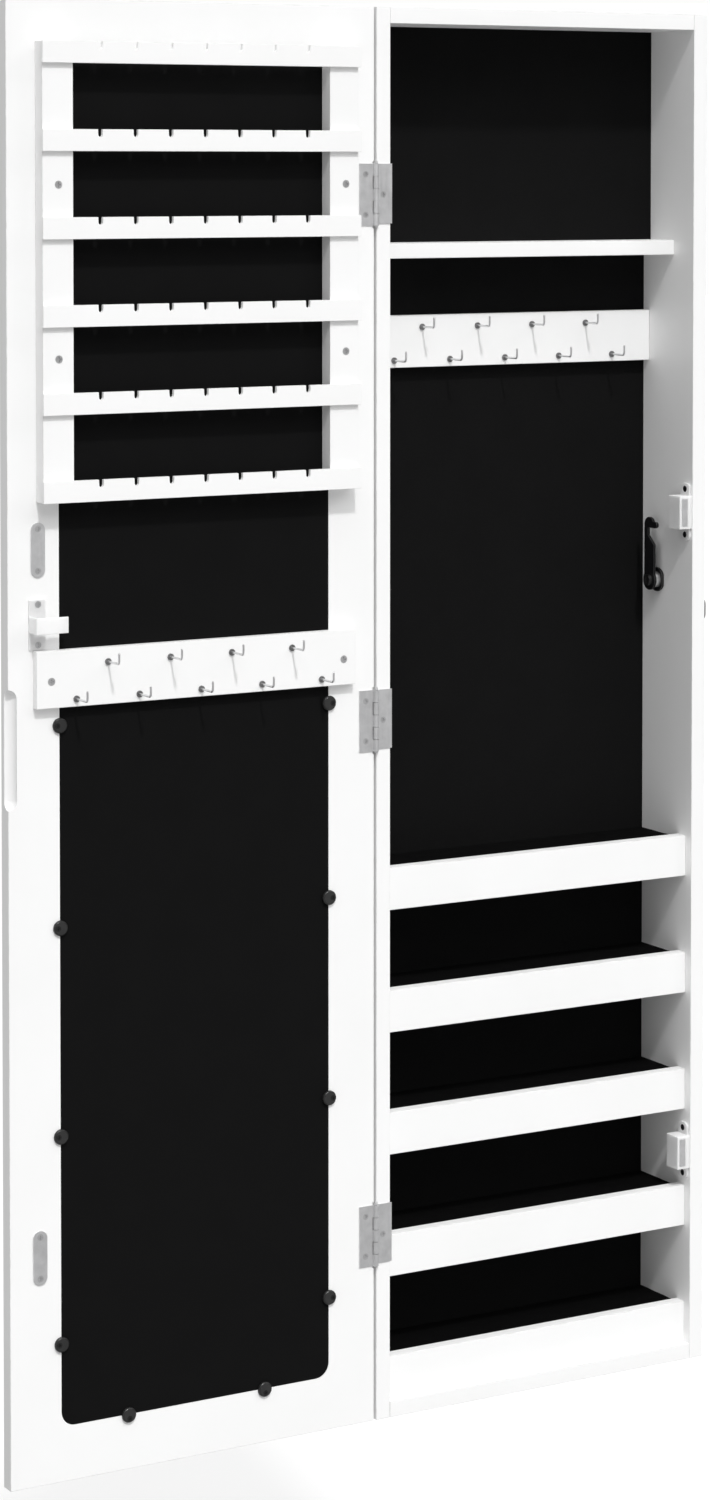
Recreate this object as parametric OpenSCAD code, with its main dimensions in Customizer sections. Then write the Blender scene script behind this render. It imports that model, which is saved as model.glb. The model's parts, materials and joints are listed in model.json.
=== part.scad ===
// Wall-hung jewelry armoire: a shallow case, and a mirrored door that folds back flat beside it.
// Everything is laid out from the hinge line (x), the case's front edge (y, into the case) and
// the bottom edge (z, up). mount_frame() then moves it to the wall mount, which is the point
// midway between the two keyholes on the back face. The door is drawn fully open.

/* [Case] */
// Height of the case and of the door
case_h = 1060; // [1050:1:1090]
// Width of the case across its sides
case_w = 299; // [296:1:310]
// Depth of the case from its front edge to the wall
case_d = 71; // [70:1:76]
// Thickness of the case panels, the door and the shelf
panel_t = 12; // [11:0.5:13]
// Thickness of the back board
back_t = 2.5; // [2:0.5:3]
// Height of the top shelf's upper face
shelf_z = 884; // [880:1:890]
// Distance of the top shelf behind the front edge
shelf_inset = 26.5; // [22:0.5:32]
// Height of the two keyholes above the bottom edge
mount_z = 970; // [940:1:1000]

/* [Trays] */
// Height of the lowest tray rail's upper edge
tray_first_z = 44; // [44:1:46]
// Distance from one tray to the next
tray_pitch = 92.8; // [88:0.2:94]
// Height of a tray's front rail
rail_h = 32; // [28:1:32]
// Thickness of a tray's front rail
rail_t = 10; // [8:0.5:12]
// Distance of the tray rails behind the front edge
rail_inset = 7.5; // [7:0.5:9]

/* [Door] */
// Height of the window for the mirror
window_h = 980; // [960:1:985]
// Width of the window for the mirror
window_w = 220; // [210:1:224]
// Gap on each side of the hinge line
hinge_gap = 1; // [0.8:0.1:1.4]
// Length of one hinge
hinge_h = 46; // [44:1:50]

/* [Earring rack] */
// Height of the lowest rail's bottom edge
rack_z = 704.6; // [702:0.2:706]
// Distance from one rail to the next
rack_pitch = 62; // [58:0.5:62]
// Height of one rail
rack_rail_h = 15.5; // [14:0.5:18]
// Number of earring slots in a rail
slot_count = 7; // [5:1:8]
// Width of an earring slot
slot_w = 3.6; // [2:0.1:4]

/* [Hooks] */
// Length of a hook's shank
hook_reach = 18; // [14:1:20]
// Height of a hook's upturned end
hook_rise = 7; // [5:0.5:8]
// Distance between neighbouring hooks of one row
hook_pitch = 50; // [46:1:52]

/* [Lock] */
// Height of the lock's axis
lock_z = 614; // [613:0.5:615]
// Distance of the lock's axis behind the front edge
lock_y = 47; // [46.8:0.1:47.5]
// Length of the cam from the lock's axis to its tip
cam_reach = 50; // [49:0.5:50]

/* [Hidden] */
$fn = 32;

eps = 0.01;

// Screws: head radius, head height, shank radius and length
small_screw_size = [2.4, 1.4, 1.1, 9];
rack_screw_size = [2.9, 1.8, 1.5, 18];
strip_screw_size = [2.9, 1.8, 1.5, 13];
clip_screw_size = [1.9, 1.2, 0.9, 10];

// Case, from the hinge line outward
case_x0 = hinge_gap;
case_x1 = case_x0 + case_w;
inner_x0 = case_x0 + panel_t;
inner_x1 = case_x1 - panel_t;
back_y = case_d - back_t;
rebate = panel_t / 2;
shelf_t = panel_t - 0.5;
hanging_board_t = 10;

// Trays
tray_count = 5;
tray_board_t = 9;
lining_t = 1.5;
lining_drop = 2;
lining_gap = 0.3;
tray_y = rail_inset + rail_t;
function tray_top(i) = tray_first_z + i * tray_pitch;
function board_top(i) = tray_top(i) - lining_drop - lining_t;

// Dowels: each is a point [y, z], used at both ends of a board
dowel_r = 2.5;
dowel_in_side = 8;
dowel_in_board = 14;
panel_dowel_ys = [18, 52];
shelf_dowel_ys = [38, 60];
tray_dowel_y = 43;
top_dowels = [for (y = panel_dowel_ys) [y, case_h - panel_t / 2]];
bottom_dowels = [for (y = panel_dowel_ys) [y, panel_t / 2]];
shelf_dowels = [for (y = shelf_dowel_ys) [y, shelf_z - shelf_t / 2]];
function rail_dowel(i) = [rail_inset + rail_t / 2, tray_top(i) - rail_h / 2];
function board_dowel(i) = [tray_dowel_y, board_top(i) - tray_board_t / 2];
tray_dowels = [for (i = [0 : tray_count - 1]) each [rail_dowel(i), board_dowel(i)]];
all_dowels = concat(top_dowels, bottom_dowels, shelf_dowels, tray_dowels);

// Back board nails, in its rim: points [x, z]
nail_inset = 3;
nail_r = 0.6;
nail_len = 10;
nail_head_r = 1.5;
nail_head_t = 0.6;
nail_xs = [case_x0 + rebate + nail_inset, case_x1 - rebate - nail_inset];
nail_side_zs = [for (k = [0 : 5]) 60 + k * (case_h - 120) / 5];
nail_end_xs = [for (k = [-1 : 1]) case_x0 + case_w / 2 + k * 90];
nail_end_zs = [rebate + nail_inset, case_h - rebate - nail_inset];
side_nails = [for (x = nail_xs, z = nail_side_zs) [x, z]];
end_nails = [for (x = nail_end_xs, z = nail_end_zs) [x, z]];

// Necklace strip on the back board
strip_h = 40;
strip_z = 788;
strip_t = 8.5;
strip_clear = 0.2;
hook_row_gap = 25.3;
lower_hook_x = inner_x0 + 38.6;
lower_hook_z = 793.6;

// Keyhole plates on the back face
keyhole_pitch = 200;
keyhole_r = 4.5;
keyhole_slot_r = 2.3;
keyhole_rise = 9;
pocket_depth = 6;
pocket_margin = 2;
plate_t = 1.5;
plate_w = 16;
plate_h = 48;
keyhole_screw_rise = 19;
keyhole_xs = [for (s = [-1, 1]) case_x0 + case_w / 2 + s * keyhole_pitch / 2];

// Magnetic catches on the right side panel
catch_zs = [165, 671];
catch_w = 12;
catch_depth = 15.5;
catch_h = 26;
catch_wall = 2.4;
catch_plate_y = 2;
catch_plate_d = 12;
catch_plate_h = 45;
catch_plate_t = 1.8;
catch_plate_r = 4;
catch_screw_y = 8;
catch_screw_rise = 18;
magnet_w = 4.8;
magnet_h = 21;
magnet_len = 11;
magnet_fit = 0.1;
magnet_proud = 0.3;

// Door, drawn open: its inner face is in the case's front plane and faces forward
door_x0 = -hinge_gap - case_w;
door_x1 = -hinge_gap;
window_x0 = -260;
window_z0 = 40;
window_r = 11;
backing_t = 3;
glass_t = 3;
backing_sink = 0.5;
lip_w = 10;
lip_r = 6;
recess_r = 6.8;
recess_z0 = 487;
recess_z1 = 573;

// Round clips round the mirror: points [x, z], each with its screw towards the frame
clip_r = 5.5;
clip_t = 2.4;
clip_screw_out = 2.4;
clip_side_zs = [100, 250, 400, 545];
clip_bottom_xs = [-206.6, -94.8];

// Hinges
hinge_zs = [141, 529, 921];
hinge_y = -1;
leaf_w = 14;
leaf_t = 0.8;
leaf_short = 1.5;
knuckle_r = 2.2;
knuckle_count = 5;
knuckle_gap = 0.3;
knuckle_clear = 0.5;
pin_r = 1;
pin_fit = 0.05;
pin_head_r = 1.6;
pin_head_t = 0.6;
door_leaf_screw_x = -8.6;
door_leaf_screw_rise = 15;
case_leaf_screw_x = 6.4;

// Earring rack on the door
stile_w = 24;
stile_t = 12;
stile_x0 = -277.5;
stile_x1 = -21.5;
rack_rail_t = 3;
rack_overlap = 1;
rack_rail_count = 6;
slot_depth = 5.5;
slot_pitch = 28;
rack_h = (rack_rail_count - 1) * rack_pitch + rack_rail_h;
rack_screw_xs = [-265, -32];
rack_screw_zs = [806, 929];

// Hook strip on the door
door_strip_x0 = -280.5;
door_strip_w = 260;
door_strip_z = 558.5;
door_strip_h = 41;
door_strip_t = 6;
door_strip_screw_xs = [-268.8, -30.5];
door_strip_screw_z = 577.5;
door_hook_x = -249.4;
door_hook_z = 564;
hook_row_rise = 25;

// Hook wire
wire_r = 0.8;
wire_bend = 2.2;
rosette_r = 2.4;
rosette_t = 1;

// Steel strike plates on the door, opposite the catches
strike_x = -276.6;
strike_w = 11;
strike_h = 39;
strike_t = 1;
strike_screw_rise = 15;

// Lock strike on the door: a base, a leg and a flange that the cam hooks behind
flange_x0 = -282;
flange_x1 = -259;
flange_z0 = 612.5;
flange_z1 = 624;
flange_t = 2;
flange_rise = 12;
strike_leg_t = 2;
strike_base_t = 1.2;
strike_base_x0 = -284;
strike_base_x1 = -271;
strike_base_z0 = 600.2;
strike_base_z1 = 636;
lock_strike_screws = [for (z = [603.6, 632.4]) [-276.9, z]];

// Lock through the right side panel
housing_r = 6.3;
housing_proud = 4.3;
housing_flange_r = 10;
housing_flange_t = 2;
nut_r = 9.5;
nut_flat = 8.5;
nut_t = 2;
plug_r = 5;
plug_fit = 0.05;
cam_t = 2;
cam_x0 = inner_x1 - 8.8;
cam_w = 13;
cam_root_r = 8;
cam_notch_u0 = 35.5;
cam_notch_u1 = 41.5;
cam_notch_slope = 0.875;
cam_hook_w = 8.3;
cam_hook_r = 2.5;
cam_spine = 5;
cam_square = 5;
cam_fit = 0.04;
cam_screw_r = 4.5;
cam_screw_t = 2.4;
cam_screw_len = 9;
cam_screw_shank_r = 1.5;
cam_cross_w = 1;
cam_cross_len = 5;

// Folding key: the bow hangs down from a knuckle outside the lock
blade_t = 2;
blade_w = 7;
blade_play = 0.2;
blade_in = 10;
blade_out = 2;
keyway_extra = 2;
key_knuckle_x = case_x1 + 26;
key_knuckle_r = 2.8;
bow_t = 4;
bow_w = 18;
bow_h = 19;
bow_drop = 35;
bow_r = 6;
bow_hole_r = 3;
bow_hole_up = 8;
bow_slot_extra = 1.5;
bow_axis_r = 1.2;
bow_play = 0.3;
tongue_w = 4;
neck_w = 9;

module mount_frame() {
    translate([-(case_x0 + case_w / 2), -case_d, -mount_z]) children();
}

// A box between two corners
module block(a, b) {
    translate(a) cube(b - a);
}

// Turns what points up so that it points out of the front, the back, the left or the right
module face_front(p) { translate(p) rotate([90, 0, 0]) children(); }
module face_back(p) { translate(p) rotate([-90, 0, 0]) children(); }
module face_left(p) { translate(p) rotate([0, -90, 0]) children(); }
module face_right(p) { translate(p) rotate([0, 90, 0]) children(); }

// Rounded rectangle in the plane, with its low corner at the origin
module round_rect(w, h, r) {
    translate([r, 0]) square([w - 2 * r, h]);
    translate([0, r]) square([w, h - 2 * r]);
    for (x = [r, w - r], y = [r, h - r]) translate([x, y]) circle(r);
}

// Countersunk screw with its head's face at the origin and its point down -Z
module screw_body(head_r, head_t, shank_r, len) {
    translate([0, 0, -head_t]) cylinder(r1 = shank_r, r2 = head_r, h = head_t);
    translate([0, 0, -len]) cylinder(r = shank_r, h = len - head_t + eps);
}

// The same screw with its cross recess
module cross_screw(head_r, head_t, shank_r, len) {
    recess = head_r * 0.3;
    difference() {
        screw_body(head_r, head_t, shank_r, len);
        for (a = [0, 90])
            rotate(a) translate([-head_r * 0.6, -recess / 2, -head_t * 0.5])
                cube([head_r * 1.2, recess, head_t]);
    }
}

// A screw of one of the listed sizes; cut = true gives its hole
module screw(size, cut) {
    if (cut) screw_body(size[0], size[1], size[2], size[3]);
    else cross_screw(size[0], size[1], size[2], size[3]);
}
module small_screw(cut = false) { screw(small_screw_size, cut); }
module rack_screw(cut = false) { screw(rack_screw_size, cut); }
module strip_screw(cut = false) { screw(strip_screw_size, cut); }
module clip_screw(cut = false) { translate([clip_screw_out, 0, clip_t]) screw(clip_screw_size, cut); }

module nail() {
    translate([0, 0, -nail_head_t]) cylinder(r = nail_head_r, h = nail_head_t);
    translate([0, 0, -nail_len]) cylinder(r = nail_r, h = nail_len - nail_head_t + eps);
}

module dowels(points) {
    len = dowel_in_side + dowel_in_board;
    for (p = points) {
        face_right([inner_x0 - dowel_in_side, p[0], p[1]]) cylinder(r = dowel_r, h = len);
        face_right([inner_x1 - dowel_in_board, p[0], p[1]]) cylinder(r = dowel_r, h = len);
    }
}

module nails(points) {
    for (p = points) face_back([p[0], case_d, p[1]]) nail();
}

// Where the screws of each fitting are
module at_case_leaf_screws() {
    for (z = hinge_zs) face_front([case_leaf_screw_x, -leaf_t, z]) children();
}
module at_door_leaf_screws() {
    for (z = hinge_zs, s = [-1, 1])
        face_front([door_leaf_screw_x, -leaf_t, z + s * door_leaf_screw_rise]) children();
}
module at_catch_screws() {
    for (z = catch_zs, s = [-1, 1])
        face_left([inner_x1 - catch_plate_t, catch_screw_y, z + s * catch_screw_rise]) children();
}
module at_keyhole_screws() {
    for (x = keyhole_xs, s = [-1, 1])
        face_back([x, case_d, mount_z + s * keyhole_screw_rise]) children();
}
module at_strike_screws() {
    for (z = catch_zs, s = [-1, 1])
        face_front([strike_x, -strike_t, z + s * strike_screw_rise]) children();
}
module at_lock_strike_screws() {
    for (p = lock_strike_screws) face_front([p[0], -strike_base_t, p[1]]) children();
}
module at_rack_screws() {
    for (x = rack_screw_xs, z = rack_screw_zs) face_front([x, -stile_t, z]) children();
}
module at_door_strip_screws() {
    for (x = door_strip_screw_xs)
        face_front([x, -door_strip_t, door_strip_screw_z]) children();
}

// Room round the hinge barrels, routed out of the panel edges
module barrel_room() {
    r = knuckle_r + knuckle_clear;
    h = hinge_h + 4;
    for (z = hinge_zs) translate([0, hinge_y, z - h / 2]) cylinder(r = r, h = h);
}

module back_board_room() {
    block([case_x0 + rebate, back_y, rebate], [case_x1 - rebate, case_d + eps, case_h - rebate]);
}

// ---- Case panels ----

module side_panel_left() {
    color("white") mount_frame() difference() {
        block([case_x0, 0, 0], [inner_x0, case_d, case_h]);
        back_board_room();
        dowels(all_dowels);
        nails(side_nails);
        barrel_room();
        at_case_leaf_screws() small_screw(cut = true);
    }
}

module side_panel_right() {
    color("white") mount_frame() difference() {
        block([inner_x1, 0, 0], [case_x1, case_d, case_h]);
        back_board_room();
        dowels(all_dowels);
        nails(side_nails);
        at_catch_screws() small_screw(cut = true);
        face_right([inner_x1 - eps, lock_y, lock_z]) cylinder(r = housing_r, h = panel_t + 2 * eps);
    }
}

module top_panel() {
    color("white") mount_frame() difference() {
        block([inner_x0, 0, case_h - panel_t], [inner_x1, case_d, case_h]);
        back_board_room();
        dowels(top_dowels);
        nails(end_nails);
    }
}

module bottom_panel() {
    color("white") mount_frame() difference() {
        block([inner_x0, 0, 0], [inner_x1, case_d, panel_t]);
        back_board_room();
        dowels(bottom_dowels);
        nails(end_nails);
    }
}

// Pocket behind a keyhole plate for the wall screw's head
module keyhole_pocket() {
    r = keyhole_r + pocket_margin;
    for (x = keyhole_xs)
        block([x - r, back_y - pocket_depth, mount_z - r],
              [x + r, case_d + eps, mount_z + keyhole_rise + r]);
}

// The two keyhole plates without their holes
module plate_blanks(extra = 0) {
    for (x = keyhole_xs)
        block([x - plate_w / 2, case_d - plate_t, mount_z - plate_h / 2],
              [x + plate_w / 2, case_d + extra, mount_z + plate_h / 2]);
}

module back_board() {
    color([0.09, 0.09, 0.09]) mount_frame() difference() {
        block([case_x0 + rebate, back_y, rebate], [case_x1 - rebate, case_d, case_h - rebate]);
        keyhole_pocket();
        plate_blanks(extra = eps);
        nails(side_nails);
        nails(end_nails);
        at_keyhole_screws() small_screw(cut = true);
    }
}

module hanging_board() {
    color([0.09, 0.09, 0.09]) mount_frame() difference() {
        block([inner_x0, back_y - hanging_board_t, shelf_z], [inner_x1, back_y, case_h - panel_t]);
        keyhole_pocket();
        at_keyhole_screws() small_screw(cut = true);
    }
}

module top_shelf() {
    color("white") mount_frame() difference() {
        block([inner_x0, shelf_inset, shelf_z - shelf_t], [inner_x1, back_y, shelf_z]);
        dowels(shelf_dowels);
    }
}

// ---- Trays, counted from the bottom ----

module tray_shelf(i) {
    color("white") mount_frame() difference() {
        block([inner_x0, tray_y, board_top(i) - tray_board_t], [inner_x1, back_y, board_top(i)]);
        dowels([board_dowel(i)]);
    }
}

module tray_rail(i) {
    color("white") mount_frame() difference() {
        block([inner_x0, rail_inset, tray_top(i) - rail_h], [inner_x1, tray_y, tray_top(i)]);
        dowels([rail_dowel(i)]);
    }
}

module tray_lining(i) {
    color([0.05, 0.05, 0.05]) mount_frame()
        block([inner_x0 + lining_gap, tray_y + lining_gap, board_top(i)],
              [inner_x1 - lining_gap, back_y - lining_gap, board_top(i) + lining_t]);
}

// ---- Hooks ----

// One wire hook on a face at the origin, pointing up +Z, with its open end turned to +Y
module hook() {
    run = hook_reach - wire_bend;
    cylinder(r = rosette_r, h = rosette_t);
    cylinder(r = wire_r, h = run);
    translate([0, wire_bend, run]) rotate([0, 90, 0]) rotate([0, 0, -90])
        rotate_extrude(angle = -90) translate([wire_bend, 0]) circle(wire_r);
    translate([0, wire_bend - eps, hook_reach]) rotate([-90, 0, 0])
        cylinder(r = wire_r, h = hook_rise - wire_bend);
    translate([0, hook_rise - eps, hook_reach]) sphere(wire_r);
}

// Two staggered rows, the lower with five hooks and the upper with four
module hook_rows(x, y, z, rise) {
    for (i = [0 : 4]) face_front([x + i * hook_pitch, y, z]) hook();
    for (i = [0 : 3]) face_front([x + (i + 0.5) * hook_pitch, y, z + rise]) hook();
}

module necklace_strip() {
    color("white") mount_frame()
        block([inner_x0 + strip_clear, back_y - strip_t, strip_z],
              [inner_x1 - strip_clear, back_y, strip_z + strip_h]);
}

module necklace_hooks() {
    color("dimgray") mount_frame()
        hook_rows(lower_hook_x, back_y - strip_t, lower_hook_z, hook_row_gap);
}

// ---- Magnetic catches ----

// The hollow in a catch, or the magnet that fills it and stands proud of its front
module magnet_room(z, fit, front) {
    x = inner_x1 - catch_w + catch_wall;
    block([x - fit, -front, z - magnet_h / 2 - fit],
          [x + magnet_w + fit, magnet_len, z + magnet_h / 2 + fit]);
}

// A housing on a screw plate with rounded corners
module catch_housings() {
    color("white") mount_frame() difference() {
        for (z = catch_zs) {
            block([inner_x1 - catch_w, 0, z - catch_h / 2], [inner_x1, catch_depth, z + catch_h / 2]);
            translate([inner_x1 - catch_plate_t, catch_plate_y, z - catch_plate_h / 2])
                rotate([90, 0, 90]) linear_extrude(catch_plate_t)
                    round_rect(catch_plate_d, catch_plate_h, catch_plate_r);
        }
        for (z = catch_zs) magnet_room(z, magnet_fit, eps);
        at_catch_screws() small_screw(cut = true);
    }
}

module catch_magnets() {
    color("darkgray") mount_frame() for (z = catch_zs) magnet_room(z, 0, magnet_proud);
}

// ---- Lock in the case ----

module lock_housing() {
    color("silver") mount_frame() difference() {
        union() {
            face_right([inner_x1 - nut_t - housing_proud, lock_y, lock_z])
                cylinder(r = housing_r, h = housing_proud + nut_t + panel_t + housing_flange_t);
            face_right([inner_x1 + panel_t, lock_y, lock_z])
                cylinder(r = housing_flange_r, h = housing_flange_t);
        }
        face_right([inner_x1 - nut_t - housing_proud - eps, lock_y, lock_z])
            cylinder(r = plug_r + plug_fit,
                     h = housing_proud + nut_t + panel_t + housing_flange_t + 2 * eps);
    }
}

// Ring nut with two flats
module lock_nut() {
    color([0.2, 0.2, 0.2]) mount_frame() difference() {
        face_right([inner_x1 - nut_t, lock_y, lock_z]) intersection() {
            cylinder(r = nut_r, h = nut_t);
            translate([-nut_r, -nut_flat, 0]) cube([2 * nut_r, 2 * nut_flat, nut_t]);
        }
        face_right([inner_x1 - nut_t - eps, lock_y, lock_z])
            cylinder(r = housing_r, h = nut_t + 2 * eps);
    }
}

// ---- Case hardware ----

// Heights of knuckle k of the hinge at z
function knuckle_z(z, k) = z - hinge_h / 2 + k * hinge_h / knuckle_count;
function own_knuckles(first) = [for (k = [first : 2 : knuckle_count - 1]) k];
function other_knuckles(first) = [for (k = [1 - first : 2 : knuckle_count - 1]) k];

// A hinge leaf on the side given by dir, with the knuckles first, first + 2, ...
module hinge_leaf(z, dir, first, short, bore_r) {
    kh = hinge_h / knuckle_count;
    difference() {
        union() {
            translate([dir > 0 ? 0 : -leaf_w, -leaf_t, z - hinge_h / 2 + short])
                cube([leaf_w, leaf_t, hinge_h - short]);
            for (k = own_knuckles(first)) translate([0, hinge_y, knuckle_z(z, k)])
                cylinder(r = knuckle_r, h = kh - knuckle_gap);
        }
        for (k = other_knuckles(first)) translate([0, hinge_y, knuckle_z(z, k) - knuckle_gap])
            cylinder(r = knuckle_r + knuckle_clear, h = kh + knuckle_gap);
        for (k = own_knuckles(first))
            block([dir > 0 ? -knuckle_r : 0, hinge_y - knuckle_r, knuckle_z(z, k) + kh - knuckle_gap],
                  [dir > 0 ? 0 : knuckle_r, hinge_y + knuckle_r, knuckle_z(z, k) + kh]);
        translate([0, hinge_y, z - hinge_h]) cylinder(r = bore_r, h = 2 * hinge_h);
    }
}

module hinge_case_leaves() {
    color("silver") mount_frame() difference() {
        for (z = hinge_zs) hinge_leaf(z, 1, 1, leaf_short, pin_r);
        at_case_leaf_screws() small_screw(cut = true);
    }
}

module hinge_pins() {
    color("gray") mount_frame() for (z = hinge_zs) translate([0, hinge_y, z - hinge_h / 2]) {
        cylinder(r = pin_r, h = hinge_h);
        translate([0, 0, -knuckle_gap - pin_head_t]) cylinder(r = pin_head_r, h = pin_head_t);
        translate([0, 0, -knuckle_gap - eps]) cylinder(r = pin_r, h = knuckle_gap + 2 * eps);
        translate([0, 0, hinge_h]) cylinder(r = pin_head_r, h = pin_head_t);
    }
}

// Steel plate with an entry hole and a narrow slot above it
module keyhole_plates() {
    y0 = case_d - plate_t - eps;
    h = plate_t + 2 * eps;
    color("silver") mount_frame() difference() {
        plate_blanks();
        for (x = keyhole_xs) {
            face_back([x, y0, mount_z]) cylinder(r = keyhole_r, h = h);
            face_back([x, y0, mount_z + keyhole_rise]) cylinder(r = keyhole_slot_r, h = h);
            block([x - keyhole_slot_r, y0, mount_z],
                  [x + keyhole_slot_r, y0 + h, mount_z + keyhole_rise]);
        }
        at_keyhole_screws() small_screw(cut = true);
    }
}

module case_screws() {
    color("gray") mount_frame() {
        at_case_leaf_screws() small_screw();
        at_catch_screws() small_screw();
        at_keyhole_screws() small_screw();
    }
}

module case_dowels() {
    color("burlywood") mount_frame() dowels(all_dowels);
}

module back_board_nails() {
    color("gray") mount_frame() {
        nails(side_nails);
        nails(end_nails);
    }
}

// ---- Door ----

// A sheet that stands in the window, between depths y0 and y1, drawn in by inset
module window_sheet(inset, r, y0, y1) {
    translate([window_x0 + inset, y1, window_z0 + inset]) rotate([90, 0, 0])
        linear_extrude(y1 - y0) round_rect(window_w - 2 * inset, window_h - 2 * inset, r);
}

// Finger pull scooped out of the free edge, round in section and at its ends
module finger_recess() {
    z0 = recess_z0 + recess_r;
    z1 = recess_z1 - recess_r;
    translate([door_x0, 0, z0]) cylinder(r = recess_r, h = z1 - z0);
    for (z = [z0, z1]) translate([door_x0, 0, z]) sphere(recess_r);
}

module at_clips() {
    for (x = [window_x0, window_x0 + window_w], z = clip_side_zs)
        translate([x, 0, z]) rotate([90, 0, 0]) rotate(x == window_x0 ? 180 : 0) children();
    for (x = clip_bottom_xs)
        translate([x, 0, window_z0]) rotate([90, 0, 0]) rotate(-90) children();
}

module door_frame() {
    color("white") mount_frame() difference() {
        block([door_x0, 0, 0], [door_x1, panel_t, case_h]);
        window_sheet(0, window_r, -eps, backing_sink + backing_t + glass_t);
        window_sheet(lip_w, lip_r, 0, panel_t + eps);
        finger_recess();
        barrel_room();
        at_clips() clip_screw(cut = true);
        at_rack_screws() rack_screw(cut = true);
        at_door_strip_screws() strip_screw(cut = true);
        at_strike_screws() small_screw(cut = true);
        at_lock_strike_screws() small_screw(cut = true);
        at_door_leaf_screws() small_screw(cut = true);
    }
}

module mirror_backing() {
    color([0.09, 0.09, 0.09]) mount_frame()
        window_sheet(0, window_r, backing_sink, backing_sink + backing_t);
}

module mirror_glass() {
    color("lightsteelblue") mount_frame()
        window_sheet(0, window_r, backing_sink + backing_t, backing_sink + backing_t + glass_t);
}

// Round plastic clip that holds the backing in, screwed off its centre
module mirror_clips() {
    edge = 0.8;
    color([0.15, 0.15, 0.15]) mount_frame() difference() {
        at_clips() rotate_extrude() polygon([
            [0, 0], [clip_r, 0], [clip_r, clip_t - edge], [clip_r - edge, clip_t], [0, clip_t]
        ]);
        at_clips() clip_screw(cut = true);
    }
}

module mirror_clip_screws() {
    color([0.25, 0.25, 0.25]) mount_frame() at_clips() clip_screw();
}

// ---- Earring rack ----

module rack_stile(x) {
    color("white") mount_frame() difference() {
        block([x, -stile_t, rack_z], [x + stile_w, 0, rack_z + rack_h]);
        at_rack_screws() rack_screw(cut = true);
    }
}

// Rail with open-topped slots for drop earrings, on the front of the stiles
module earring_rail(i) {
    z = rack_z + i * rack_pitch;
    y1 = -stile_t;
    y0 = y1 - rack_rail_t;
    mid_x = (stile_x0 + stile_x1) / 2;
    color("white") mount_frame() difference() {
        block([stile_x0 - rack_overlap, y0, z], [stile_x1 + rack_overlap, y1, z + rack_rail_h]);
        for (k = [0 : slot_count - 1]) {
            x = mid_x + (k - (slot_count - 1) / 2) * slot_pitch;
            block([x - slot_w / 2, y0 - eps, z + rack_rail_h - slot_depth + slot_w / 2],
                  [x + slot_w / 2, y1 + eps, z + rack_rail_h + eps]);
            face_back([x, y0 - eps, z + rack_rail_h - slot_depth + slot_w / 2])
                cylinder(r = slot_w / 2, h = rack_rail_t + 2 * eps);
        }
    }
}

module rack_screws() {
    color("silver") mount_frame() {
        at_rack_screws() rack_screw();
        at_door_strip_screws() strip_screw();
    }
}

// ---- Hook strip, strikes and hinge halves on the door ----

module door_strip() {
    color("white") mount_frame() difference() {
        block([door_strip_x0, -door_strip_t, door_strip_z],
              [door_strip_x0 + door_strip_w, 0, door_strip_z + door_strip_h]);
        at_door_strip_screws() strip_screw(cut = true);
    }
}

module door_hooks() {
    color("dimgray") mount_frame()
        hook_rows(door_hook_x, -door_strip_t, door_hook_z, hook_row_rise);
}

module strike_plates() {
    color("silver") mount_frame() difference() {
        for (z = catch_zs)
            translate([strike_x - strike_w / 2, 0, z - strike_h / 2]) rotate([90, 0, 0])
                linear_extrude(strike_t) round_rect(strike_w, strike_h, strike_w / 2 - eps);
        at_strike_screws() small_screw(cut = true);
    }
}

module lock_strike() {
    color("white") mount_frame() difference() {
        union() {
            block([strike_base_x0, -strike_base_t, strike_base_z0], [strike_base_x1, 0, strike_base_z1]);
            block([flange_x0 - strike_leg_t, -flange_rise - flange_t, flange_z0],
                  [flange_x0, -strike_base_t + eps, flange_z1]);
            block([flange_x0 - eps, -flange_rise - flange_t, flange_z0],
                  [flange_x1, -flange_rise, flange_z1]);
        }
        at_lock_strike_screws() small_screw(cut = true);
    }
}

module hinge_door_leaves() {
    color("silver") mount_frame() difference() {
        for (z = hinge_zs) hinge_leaf(z, -1, 0, 0, pin_r + pin_fit);
        at_door_leaf_screws() small_screw(cut = true);
    }
}

module door_screws() {
    color("gray") mount_frame() {
        at_door_leaf_screws() small_screw();
        at_strike_screws() small_screw();
        at_lock_strike_screws() small_screw();
    }
}

// ---- Lock core, cam and key ----

module plug_square(extra) {
    s = cam_square + extra;
    translate([-s / 2, -s / 2, 0]) cube([s, s, cam_t + 2 * eps]);
}

// Plug with a keyway from its outer end and a square end for the cam
module lock_plug() {
    out = inner_x1 + panel_t + housing_flange_t;
    color("darkgray") mount_frame() difference() {
        union() {
            face_right([cam_x0 + cam_t, lock_y, lock_z]) cylinder(r = plug_r, h = out - cam_x0 - cam_t);
            face_right([cam_x0, lock_y, lock_z]) plug_square(0);
        }
        block([out - blade_in - keyway_extra,
               lock_y - blade_t / 2 - blade_play, lock_z - blade_w / 2 - blade_play],
              [out + eps, lock_y + blade_t / 2 + blade_play, lock_z + blade_w / 2 + blade_play]);
        face_right([cam_x0 - eps, lock_y, lock_z])
            cylinder(r = cam_screw_shank_r, h = cam_screw_len - cam_screw_t);
    }
}

// Outline of the notch: square at the hook, slanting away from it towards the open side
module cam_notch() {
    root = cam_w / 2 - cam_spine;
    open = -2 * cam_w;
    polygon([
        [root, cam_notch_u1], [open, cam_notch_u1],
        [open, cam_notch_u0 - cam_notch_slope * (root - open)], [root, cam_notch_u0],
    ]);
}

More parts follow.
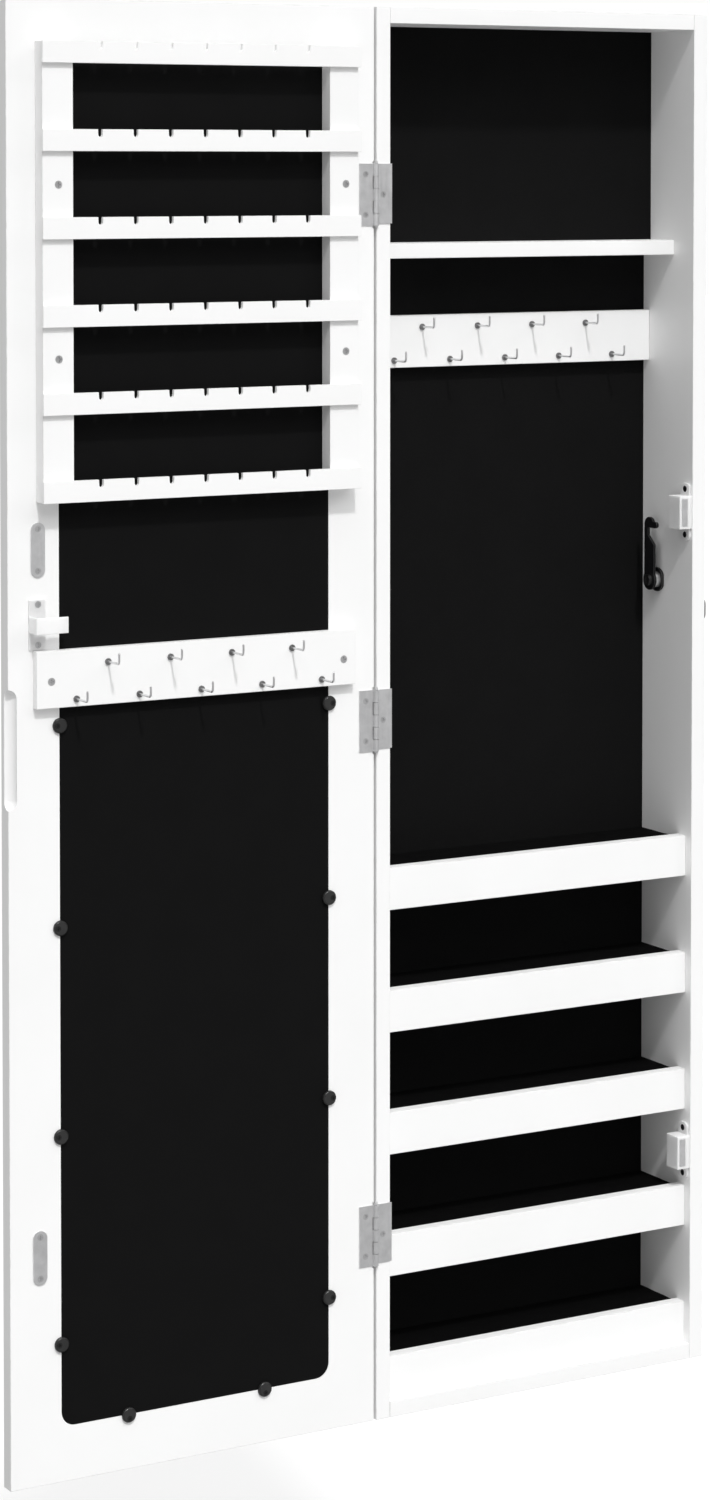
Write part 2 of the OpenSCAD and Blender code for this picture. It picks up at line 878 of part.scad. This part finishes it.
// Hooked cam, pointing up when unlocked, with its notch open to the front
module lock_cam() {
    color([0.08, 0.08, 0.08]) mount_frame() difference() {
        translate([cam_x0, lock_y, lock_z]) rotate([90, 0, 90]) linear_extrude(cam_t) difference() {
            union() {
                circle(cam_root_r);
                translate([-cam_w / 2, 0]) square([cam_w, cam_notch_u1]);
                translate([0, cam_reach - cam_w / 2]) circle(cam_w / 2);
                translate([-cam_hook_w, cam_notch_u1]) {
                    square([cam_hook_w, 2 * cam_hook_r]);
                    translate([0, cam_hook_r]) circle(cam_hook_r);
                }
            }
            cam_notch();
        }
        face_right([cam_x0 - eps, lock_y, lock_z]) plug_square(cam_fit);
    }
}

module cam_screw() {
    shank = cam_screw_len - cam_screw_t;
    color([0.2, 0.2, 0.2]) mount_frame() face_left([cam_x0, lock_y, lock_z]) difference() {
        union() {
            cylinder(r = cam_screw_r, h = cam_screw_t);
            translate([0, 0, -shank]) cylinder(r = cam_screw_shank_r, h = shank);
        }
        for (a = [0, 90])
            rotate(a) translate([-cam_cross_len / 2, -cam_cross_w / 2, cam_screw_t - cam_cross_w])
                cube([cam_cross_len, cam_cross_w, cam_cross_w + eps]);
    }
}

// Flat blade, and the tongue that carries the bow's pivot
module key_blade() {
    out = inner_x1 + panel_t + housing_flange_t;
    pivot = [key_knuckle_x, lock_y, lock_z];
    color("silver") mount_frame() {
        block([out - blade_in, lock_y - blade_t / 2, lock_z - blade_w / 2],
              [out + blade_out, lock_y + blade_t / 2, lock_z + blade_w / 2]);
        block([out + blade_out - eps, lock_y - tongue_w / 2, lock_z - key_knuckle_r],
              [key_knuckle_x, lock_y + tongue_w / 2, lock_z + key_knuckle_r]);
        face_back(pivot - [0, tongue_w / 2, 0]) cylinder(r = key_knuckle_r, h = tongue_w);
        face_back(pivot - [0, neck_w / 2, 0]) cylinder(r = bow_axis_r, h = neck_w);
    }
}

// Plastic bow, hanging from the pivot
module key_bow() {
    color([0.12, 0.12, 0.12]) mount_frame() difference() {
        union() {
            translate([key_knuckle_x - bow_t / 2, lock_y - bow_w / 2, lock_z - bow_drop])
                rotate([90, 0, 90]) linear_extrude(bow_t) round_rect(bow_w, bow_h, bow_r);
            block([key_knuckle_x - bow_t / 2, lock_y - neck_w / 2, lock_z - bow_drop + bow_h - eps],
                  [key_knuckle_x + bow_t / 2, lock_y + neck_w / 2, lock_z]);
            face_back([key_knuckle_x, lock_y - neck_w / 2, lock_z])
                cylinder(r = key_knuckle_r, h = neck_w);
        }
        face_back([key_knuckle_x, lock_y - tongue_w / 2 - bow_play, lock_z])
            cylinder(r = key_knuckle_r + bow_slot_extra, h = tongue_w + 2 * bow_play);
        face_back([key_knuckle_x, lock_y - bow_w, lock_z])
            cylinder(r = bow_axis_r + pin_fit, h = 2 * bow_w);
        face_right([key_knuckle_x - bow_t, lock_y, lock_z - bow_drop + bow_hole_up])
            cylinder(r = bow_hole_r, h = 2 * bow_t);
    }
}

side_panel_left();
side_panel_right();
top_panel();
bottom_panel();
back_board();
hanging_board();
top_shelf();
tray_shelf(0);  // tray_shelf_1
tray_shelf(1);  // tray_shelf_2
tray_shelf(2);  // tray_shelf_3
tray_shelf(3);  // tray_shelf_4
tray_shelf(4);  // tray_shelf_5
tray_rail(0);  // tray_rail_1
tray_rail(1);  // tray_rail_2
tray_rail(2);  // tray_rail_3
tray_rail(3);  // tray_rail_4
tray_rail(4);  // tray_rail_5
tray_lining(0);  // tray_lining_1
tray_lining(1);  // tray_lining_2
tray_lining(2);  // tray_lining_3
tray_lining(3);  // tray_lining_4
tray_lining(4);  // tray_lining_5
necklace_strip();
necklace_hooks();
catch_housings();
catch_magnets();
case_screws();
lock_housing();
lock_nut();
hinge_case_leaves();
hinge_pins();
keyhole_plates();
case_dowels();
back_board_nails();
door_frame();
mirror_glass();
mirror_backing();
mirror_clips();
mirror_clip_screws();
rack_stile(stile_x0);  // rack_stile_left
rack_stile(stile_x1 - stile_w);  // rack_stile_right
earring_rail(0);  // earring_rail_1
earring_rail(1);  // earring_rail_2
earring_rail(2);  // earring_rail_3
earring_rail(3);  // earring_rail_4
earring_rail(4);  // earring_rail_5
earring_rail(5);  // earring_rail_6
rack_screws();
door_strip();
door_hooks();
strike_plates();
lock_strike();
hinge_door_leaves();
door_screws();
lock_plug();
lock_cam();
cam_screw();
key_blade();
key_bow();
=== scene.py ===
"""Looks of the wall-hung jewelry armoire: foil-wrapped board, flocked black boards, felt, steel
and moulded plastic, in metres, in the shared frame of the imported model."""

import json
import math

import bmesh
import bpy
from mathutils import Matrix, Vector, noise

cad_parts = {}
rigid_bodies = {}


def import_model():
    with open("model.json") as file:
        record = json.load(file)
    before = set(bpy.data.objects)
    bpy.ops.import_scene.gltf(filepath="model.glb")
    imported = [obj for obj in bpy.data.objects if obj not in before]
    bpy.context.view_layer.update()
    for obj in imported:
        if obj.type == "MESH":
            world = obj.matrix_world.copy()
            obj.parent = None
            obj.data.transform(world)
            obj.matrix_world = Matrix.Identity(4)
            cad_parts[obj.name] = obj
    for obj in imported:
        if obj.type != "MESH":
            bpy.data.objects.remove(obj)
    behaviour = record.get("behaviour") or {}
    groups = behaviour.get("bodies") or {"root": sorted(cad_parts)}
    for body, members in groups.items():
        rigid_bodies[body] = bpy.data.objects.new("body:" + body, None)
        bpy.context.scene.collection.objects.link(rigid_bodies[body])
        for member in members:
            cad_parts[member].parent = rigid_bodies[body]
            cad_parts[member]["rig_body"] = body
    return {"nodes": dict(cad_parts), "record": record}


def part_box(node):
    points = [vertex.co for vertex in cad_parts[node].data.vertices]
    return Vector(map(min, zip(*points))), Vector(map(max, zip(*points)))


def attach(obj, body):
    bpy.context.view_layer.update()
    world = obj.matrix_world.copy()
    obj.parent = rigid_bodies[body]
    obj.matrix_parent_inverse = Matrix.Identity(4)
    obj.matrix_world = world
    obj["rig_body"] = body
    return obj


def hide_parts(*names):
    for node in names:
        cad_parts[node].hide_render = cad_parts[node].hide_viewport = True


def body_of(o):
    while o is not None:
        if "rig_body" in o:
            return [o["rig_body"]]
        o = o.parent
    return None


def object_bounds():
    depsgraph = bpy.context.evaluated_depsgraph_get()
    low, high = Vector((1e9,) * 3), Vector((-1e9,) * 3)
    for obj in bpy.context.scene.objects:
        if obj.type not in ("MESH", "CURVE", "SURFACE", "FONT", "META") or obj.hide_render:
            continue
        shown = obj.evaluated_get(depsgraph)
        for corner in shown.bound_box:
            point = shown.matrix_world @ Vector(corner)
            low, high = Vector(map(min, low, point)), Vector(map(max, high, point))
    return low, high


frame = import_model()
cad_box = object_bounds()
nodes = frame["nodes"]

MM = 0.001

# ---- Camera, lights and floor ----

CAMERA_AT = (-1.5282, -2.4242, -0.0284)
CAMERA_YAW = math.radians(30.03)
CAMERA_PITCH = math.radians(-2.31)
CAMERA_LENS = 88.2
CAMERA_SHIFT_Y = -0.29

CLIP_END = 200
FLOOR_DROP = 0.45
FLOOR_SIZE = 60.0
FLOOR_GLOW = 0.60
WORLD_LIGHT = 0.40

# Each light: the direction it comes from, its strength, and how many degrees wide it is in the sky
LIGHTS = {
    "key": ((-0.21, -1.0, 1.33), 1.5, 4),
    "softbox": ((-0.15, -1.0, 1.2), 1.1, 55),
    "fill": ((1.2, -1.0, 1.1), 0.45, 25),
}


def add_camera():
    data = bpy.data.cameras.new("camera")
    data.lens = CAMERA_LENS
    data.shift_y = CAMERA_SHIFT_Y
    data.clip_end = CLIP_END
    camera = bpy.data.objects.new("camera", data)
    camera.location = CAMERA_AT
    camera.rotation_euler = (math.pi / 2 + CAMERA_PITCH, 0, -CAMERA_YAW)
    bpy.context.scene.collection.objects.link(camera)
    bpy.context.scene.camera = camera


def add_lights():
    for name, (come_from, strength, width) in LIGHTS.items():
        data = bpy.data.lights.new(name, "SUN")
        data.energy = strength
        data.angle = math.radians(width)
        light = bpy.data.objects.new(name, data)
        light.rotation_euler = (-Vector(come_from)).to_track_quat("-Z", "Y").to_euler()
        bpy.context.scene.collection.objects.link(light)


def seen_strength(tree, seen, unseen):
    """A strength that is one value for what the camera sees and another for the light it gives."""
    path = tree.nodes.new("ShaderNodeLightPath")
    spread = tree.nodes.new("ShaderNodeMapRange")
    spread.inputs["To Min"].default_value = unseen
    spread.inputs["To Max"].default_value = seen
    tree.links.new(path.outputs["Is Camera Ray"], spread.inputs["Value"])
    return spread.outputs["Result"]


def add_world():
    world = bpy.data.worlds.new("studio")
    world.use_nodes = True
    tree = world.node_tree
    background = tree.nodes["Background"]
    background.inputs["Color"].default_value = (1, 1, 1, 1)
    tree.links.new(seen_strength(tree, 1.0, WORLD_LIGHT), background.inputs["Strength"])
    bpy.context.scene.world = world


def add_floor():
    half = FLOOR_SIZE / 2
    low = cad_box[0][2] - FLOOR_DROP
    mesh = bpy.data.meshes.new("floor")
    corners = [(-half, -half, low), (half, -half, low), (half, half, low), (-half, half, low)]
    mesh.from_pydata(corners, [], [(0, 1, 2, 3)])
    floor = bpy.data.objects.new("floor", mesh)
    bpy.context.scene.collection.objects.link(floor)
    surface = Surface("floor", {"Roughness": 0.9, "Specular IOR Level": 0.2})
    surface.colour(surface.noise(0.8), (0.43, 0.43, 0.43), (0.46, 0.46, 0.46))
    surface.shader.inputs["Emission Color"].default_value = (1, 1, 1, 1)
    glow = seen_strength(surface.tree, FLOOR_GLOW, 0)
    surface.tree.links.new(glow, surface.shader.inputs["Emission Strength"])
    mesh.materials.append(surface.material)


# ---- Materials ----


class Surface:
    """A procedural material in the making. Its patterns lie in the piece's own metres."""

    def __init__(self, name, constants):
        self.material = bpy.data.materials.new(name)
        self.material.use_nodes = True
        self.tree = self.material.node_tree
        self.shader = self.tree.nodes["Principled BSDF"]
        for socket, value in constants.items():
            self.shader.inputs[socket].default_value = value
        self.place = self.tree.nodes.new("ShaderNodeTexCoord").outputs["Object"]
        self.normal = None

    def noise(self, per_metre, detail=3.0, stretch=(1, 1, 1)):
        """Noise with about per_metre features in each metre, drawn out where stretch is below 1."""
        mapping = self.tree.nodes.new("ShaderNodeMapping")
        mapping.inputs["Scale"].default_value = stretch
        texture = self.tree.nodes.new("ShaderNodeTexNoise")
        texture.inputs["Scale"].default_value = per_metre
        texture.inputs["Detail"].default_value = detail
        self.tree.links.new(self.place, mapping.inputs["Vector"])
        self.tree.links.new(mapping.outputs["Vector"], texture.inputs["Vector"])
        return texture.outputs["Fac"]

    def ramp(self, pattern, low, high, start=0.3, end=0.7):
        """The pattern's range from start to end, spread over low to high."""
        spread = self.tree.nodes.new("ShaderNodeMapRange")
        for socket, value in (("From Min", start), ("From Max", end), ("To Min", low), ("To Max", high)):
            spread.inputs[socket].default_value = value
        self.tree.links.new(pattern, spread.inputs["Value"])
        return spread.outputs["Result"]

    def colour(self, pattern, dark, light, start=0.3, end=0.7):
        mix = self.tree.nodes.new("ShaderNodeMix")
        mix.data_type = "RGBA"
        mix.inputs["A"].default_value = (*dark, 1)
        mix.inputs["B"].default_value = (*light, 1)
        self.tree.links.new(self.ramp(pattern, 0, 1, start, end), mix.inputs["Factor"])
        self.tree.links.new(mix.outputs["Result"], self.shader.inputs["Base Color"])

    def roughness(self, pattern, low, high):
        self.tree.links.new(self.ramp(pattern, low, high), self.shader.inputs["Roughness"])

    def relief(self, pattern, depth):
        """Adds a bump of that depth in metres, on top of the ones before it."""
        bump = self.tree.nodes.new("ShaderNodeBump")
        bump.inputs["Distance"].default_value = depth
        self.tree.links.new(pattern, bump.inputs["Height"])
        if self.normal:
            self.tree.links.new(self.normal, bump.inputs["Normal"])
        self.normal = bump.outputs["Normal"]
        self.tree.links.new(self.normal, self.shader.inputs["Normal"])


def white_foil():
    """Satin white foil pressed on fibreboard, with the fine orange peel of the press."""
    s = Surface("white_foil", {"IOR": 1.46, "Specular IOR Level": 0.35})
    s.colour(s.noise(14, 4), (0.925, 0.925, 0.922), (0.945, 0.945, 0.945))
    s.roughness(s.noise(45, 5), 0.36, 0.50)
    s.relief(s.noise(420, 2), 0.000012)
    s.relief(s.noise(2600, 2), 0.000006)
    return s.material


def foil_edge():
    """The same foil where it is folded round an edge: thinner, smoother, and rubbed in places."""
    s = Surface("foil_edge", {"IOR": 1.46, "Specular IOR Level": 0.35})
    s.colour(s.noise(90, 5), (0.80, 0.80, 0.79), (0.90, 0.90, 0.90), 0.35, 0.55)
    s.roughness(s.noise(200, 4), 0.28, 0.45)
    s.relief(s.noise(700, 3), 0.00002)
    return s.material


def black_flock():
    """Thin board flocked black: short fibres that swallow light."""
    s = Surface("black_flock", {"Specular IOR Level": 0.06, "Sheen Weight": 0.004, "Sheen Roughness": 0.5})
    s.colour(s.noise(1800, 4), (0.0036, 0.0036, 0.0037), (0.0074, 0.0074, 0.0075))
    s.roughness(s.noise(30, 4), 0.82, 0.95)
    s.relief(s.noise(3200, 3), 0.00006)
    s.relief(s.noise(60, 3), 0.00008)
    return s.material


def black_felt():
    """Pressed wool-look felt: tangled fibres with a faint sheen."""
    s = Surface("black_felt", {"Specular IOR Level": 0.03, "Sheen Weight": 0.002, "Sheen Roughness": 0.6})
    s.colour(s.noise(1300, 6), (0.0012, 0.0012, 0.0012), (0.0034, 0.0034, 0.0035))
    s.roughness(s.noise(90, 4), 0.88, 1.0)
    s.relief(s.noise(900, 6, (1, 0.4, 1)), 0.00018)
    s.relief(s.noise(1500, 5, (0.35, 1, 1)), 0.00014)
    return s.material


def steel(name, dark, light, rough, scratch=(1, 1, 0.04), depth=0.000004):
    """Bare or plated steel: clouded colour, and fine marks drawn out along one axis."""
    s = Surface(name, {"Metallic": 1.0})
    s.colour(s.noise(160, 5), (dark, dark, dark * 1.01), (light, light, light * 1.01))
    s.roughness(s.noise(700, 4, scratch), rough - 0.07, rough + 0.08)
    s.relief(s.noise(2400, 3, scratch), depth)
    return s.material


def moulded(name, dark, light, rough, grain=0.00002, clear=0.0):
    """Moulded plastic with the fine spark-eroded grain of its tool. Light goes a little way in."""
    depths = {"Subsurface Weight": clear, "Subsurface Scale": 0.004, "Subsurface Radius": (1, 1, 1)}
    s = Surface(name, {"IOR": 1.48, "Specular IOR Level": 0.4, **depths})
    s.colour(s.noise(60, 3), (dark, dark, dark), (light, light, light))
    s.roughness(s.noise(900, 3), rough - 0.06, rough + 0.06)
    s.relief(s.noise(1700, 2), grain)
    return s.material


def black_oxide():
    """Steel blackened in a bath, rubbed to a soft gloss on its high spots."""
    s = Surface("black_oxide", {"Specular IOR Level": 0.25})
    s.colour(s.noise(400, 5), (0.004, 0.004, 0.005), (0.013, 0.013, 0.014))
    s.roughness(s.noise(600, 4), 0.32, 0.52)
    s.relief(s.noise(1500, 3), 0.000015)
    return s.material


def raw_beech():
    s = Surface("raw_beech", {"Specular IOR Level": 0.2})
    s.colour(s.noise(900, 5, (0.06, 1, 1)), (0.50, 0.33, 0.20), (0.68, 0.49, 0.31))
    s.roughness(s.noise(300, 3, (0.1, 1, 1)), 0.6, 0.8)
    s.relief(s.noise(1400, 4, (0.05, 1, 1)), 0.00005)
    return s.material


def silvered_glass():
    """Mirror: bright and smooth, with the faintest haze of wiping."""
    s = Surface("silvered_glass", {"Metallic": 1.0})
    s.colour(s.noise(5, 2), (0.885, 0.900, 0.895), (0.905, 0.915, 0.912))
    s.roughness(s.noise(12, 5, (1, 1, 0.4)), 0.004, 0.025)
    return s.material


def glass_edge():
    """Ground edge of the pane, green with depth."""
    s = Surface("glass_edge", {"IOR": 1.5})
    s.colour(s.noise(120, 3), (0.25, 0.42, 0.36), (0.42, 0.58, 0.52))
    s.roughness(s.noise(900, 3), 0.3, 0.5)
    s.relief(s.noise(1800, 3), 0.00002)
    return s.material


def surfaces():
    """For each material slot of the record, its finish and its second finish."""
    foil, foil_fold = white_foil(), foil_edge()
    flock, felt = black_flock(), black_felt()
    wire = steel("grey_nickel", 0.66, 0.78, 0.34)
    # The foot of each hook, next to its strip, is coloured darker than its wire.
    collar = steel("darker_hook_foot", 0.20, 0.30, 0.42)
    zinc = steel("zinc_plate", 0.70, 0.80, 0.46)
    screw = steel("zinc_screw", 0.58, 0.70, 0.38, (1, 1, 1))
    pole = steel("ground_steel", 0.76, 0.88, 0.42)
    lock = steel("plated_casting", 0.74, 0.84, 0.46, (1, 1, 1), 0.000006)
    white = moulded("white_moulding", 0.92, 0.96, 0.38, clear=0.8)
    black = moulded("black_moulding", 0.018, 0.028, 0.34)
    gloss = moulded("black_gloss", 0.006, 0.012, 0.22, 0.000008)
    oxide = black_oxide()
    # Bare steel: all of the cam screw, and the rounded edges of the cam and nut, where its lighter colour
    # is partly wear and partly a painted highlight.
    wear_and_highlight = steel("steel_wear_and_highlight", 0.07, 0.20, 0.38, (1, 1, 1))
    beech = raw_beech()
    return {
        "white_board": (foil, foil_fold), "black_board": (flock, flock), "tray_felt": (felt, felt),
        "hook_wire": (wire, collar), "hinge_steel": (zinc, zinc), "screw_steel": (screw, oxide),
        "white_plastic": (white, white), "black_plastic": (black, gloss),
        # The rounded edges of the cam steel parts are lighter: partly wear, partly a painted highlight.
        "magnet_steel": (pole, pole), "lock_zinc": (lock, lock), "cam_steel": (oxide, wear_and_highlight),
        "dowel_beech": (beech, beech), "mirror": (silvered_glass(), glass_edge()),
    }


# ---- Hard parts: the CAD shapes with their edges rounded off ----

WELD = 0.00001
FLAT = math.radians(0.5)
SHARP = math.radians(35)

# Radius of the rounded edges, and the shortest edge that is rounded, in millimetres, by node name
ROUNDING = {
    "side_panel_left": (0.5, 8), "side_panel_right": (0.5, 8), "top_panel": (0.5, 8),
    "bottom_panel": (0.5, 8), "top_shelf": (0.5, 8), "door_frame": (0.6, 8),
    "necklace_strip": (0.5, 4), "door_strip": (0.5, 5), "back_board": (0.2, 8),
    "hanging_board": (0.3, 8), "rack_stile_left": (0.4, 5), "rack_stile_right": (0.4, 5),
    "mirror_backing": (0.2, 0), "mirror_glass": (0.4, 0), "mirror_clips": (0.2, 0),
    "catch_housings": (0.4, 4), "catch_magnets": (0.15, 1.5), "lock_strike": (0.3, 1),
    "lock_housing": (0.4, 0), "lock_nut": (0.4, 0), "lock_cam": (0.25, 0),
    "cam_screw": (0.15, 0), "hinge_case_leaves": (0.12, 0), "hinge_door_leaves": (0.12, 0),
    "keyhole_plates": (0.2, 0), "strike_plates": (0.2, 0), "key_blade": (0.2, 0),
    "key_bow": (0.6, 0), "necklace_hooks": (0.1, 0), "door_hooks": (0.1, 0),
    "case_screws": (0.08, 0), "door_screws": (0.08, 0), "rack_screws": (0.1, 0),
    "mirror_clip_screws": (0.08, 0),
}
for count in range(1, 6):
    ROUNDING[f"tray_shelf_{count}"] = (0.4, 8)
    ROUNDING[f"tray_rail_{count}"] = (0.5, 8)
for count in range(1, 7):
    ROUNDING[f"earring_rail_{count}"] = (0.3, 3)

COLLAR_DEPTH = 1.1 * MM


def hook_collar(strip):
    """Tells whether a point is in the collar at the foot of a hook, on the front of that strip."""
    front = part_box(strip)[0].y
    return lambda point: point.y > front - COLLAR_DEPTH


def catch_screw(point):
    """Tells whether a point of the case's screws is on a screw of the catches."""
    return point.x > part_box("catch_housings")[0].x


def everywhere(point):
    return True


# Nodes whose second finish lies on the faces that a test picks, instead of their rounded edges
TWO_TONE = {
    "necklace_hooks": hook_collar("necklace_strip"),
    "door_hooks": hook_collar("door_strip"),
    "case_screws": catch_screw,
    "mirror_clip_screws": everywhere,
    "cam_screw": everywhere,
}


def show(bm, name, materials, body, replaced):
    """Turns a bmesh into a piece that rides on a body and stands for a CAD node."""
    mesh = bpy.data.meshes.new(name)
    bm.to_mesh(mesh)
    bm.free()
    for material in materials:
        mesh.materials.append(material)
    piece = bpy.data.objects.new(name, mesh)
    bpy.context.scene.collection.objects.link(piece)
    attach(piece, body)
    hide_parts(replaced)
    return piece


def rounded(node, radius, shortest, finish):
    """A copy of a CAD node with its outer edges rounded off, except those below shortest.

    The rounded edges take the second finish, unless TWO_TONE says where it lies.
    """
    bm = bmesh.new()
    bm.from_mesh(nodes[node].data)
    bmesh.ops.remove_doubles(bm, verts=bm.verts, dist=WELD)
    bmesh.ops.dissolve_limit(bm, angle_limit=FLAT, verts=bm.verts, edges=bm.edges)
    outer = [
        e for e in bm.edges
        if e.is_manifold and e.is_convex and e.calc_face_angle() > SHARP and e.calc_length() >= shortest
    ]
    in_second = TWO_TONE.get(node)
    bmesh.ops.bevel(
        bm, geom=outer, offset=radius, offset_type="OFFSET", segments=2, profile=0.5,
        affect="EDGES", clamp_overlap=shortest == 0, material=-1 if in_second else 1,
    )
    for face in bm.faces:
        face.smooth = True
        if in_second and in_second(face.calc_center_median()):
            face.material_index = 1
    for edge in bm.edges:
        edge.smooth = not edge.is_manifold or edge.calc_face_angle() < SHARP
    piece = show(bm, f"{node}_finished", finish, body_of(nodes[node])[0], node)
    piece.modifiers.new("even_normals", "WEIGHTED_NORMAL").keep_sharp = True
    return piece


def finish_hard_parts(finishes):
    for part in frame["record"]["subparts"]:
        node, slot_name = part["node"], part["material_slot"]
        if slot_name == "tray_felt":
            continue
        finish = finishes[slot_name]
        if node in ROUNDING:
            radius, shortest = ROUNDING[node]
            rounded(node, radius * MM, shortest * MM, finish)
        else:
            for material_slot in nodes[node].material_slots:
                material_slot.material = finish[0]


# ---- Felt linings ----

FELT_STEP = 2 * MM
FELT_WAVE = 0.18 * MM
FELT_GRAIN = 0.5 * FELT_WAVE
FELT_EDGE = 0.7 * MM
SLUMP_STEPS = 2
WAVES_PER_METRE = 70
GRAINS_PER_METRE = 420


def felt_lining(node, finish):
    """A cut felt sheet glued to its shelf: a slightly uneven top that slumps at its rim."""
    low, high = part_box(node)
    size = high - low
    columns, rows = (max(2, round(side / FELT_STEP)) for side in (size.x, size.y))
    bm = bmesh.new()

    def at(i, j, top):
        x, y = low.x + size.x * i / columns, low.y + size.y * j / rows
        if not top:
            return (x, y, low.z)
        steps_in = min(i, j, columns - i, rows - j)
        slump = FELT_EDGE * max(0.0, 1 - steps_in / SLUMP_STEPS) ** 2
        wave = FELT_WAVE * noise.noise(Vector((x, y, low.z)) * WAVES_PER_METRE)
        grain = FELT_GRAIN * noise.noise(Vector((x, y, low.z)) * GRAINS_PER_METRE)
        return (x, y, high.z - FELT_WAVE - slump + wave + grain)

    grids = [
        [[bm.verts.new(at(i, j, top)) for j in range(rows + 1)] for i in range(columns + 1)]
        for top in (True, False)
    ]
    over, under = grids
    for i in range(columns):
        for j in range(rows):
            bm.faces.new((over[i][j], over[i + 1][j], over[i + 1][j + 1], over[i][j + 1]))
            bm.faces.new((under[i][j], under[i][j + 1], under[i + 1][j + 1], under[i + 1][j]))
    rim = [(i, 0) for i in range(columns)] + [(columns, j) for j in range(rows)]
    rim += [(i, rows) for i in range(columns, 0, -1)] + [(0, j) for j in range(rows, 0, -1)]
    for (a, b), (c, d) in zip(rim, rim[1:] + rim[:1]):
        bm.faces.new((under[a][b], under[c][d], over[c][d], over[a][b]))
    for face in bm.faces:
        face.smooth = True
    piece = show(bm, f"{node}_felt", finish, body_of(nodes[node])[0], node)


add_camera()
add_world()
add_floor()
add_lights()
finishes = surfaces()
finish_hard_parts(finishes)
for count in range(1, 6):
    felt_lining(f"tray_lining_{count}", finishes["tray_felt"])
bpy.context.scene.view_settings.view_transform = "Standard"
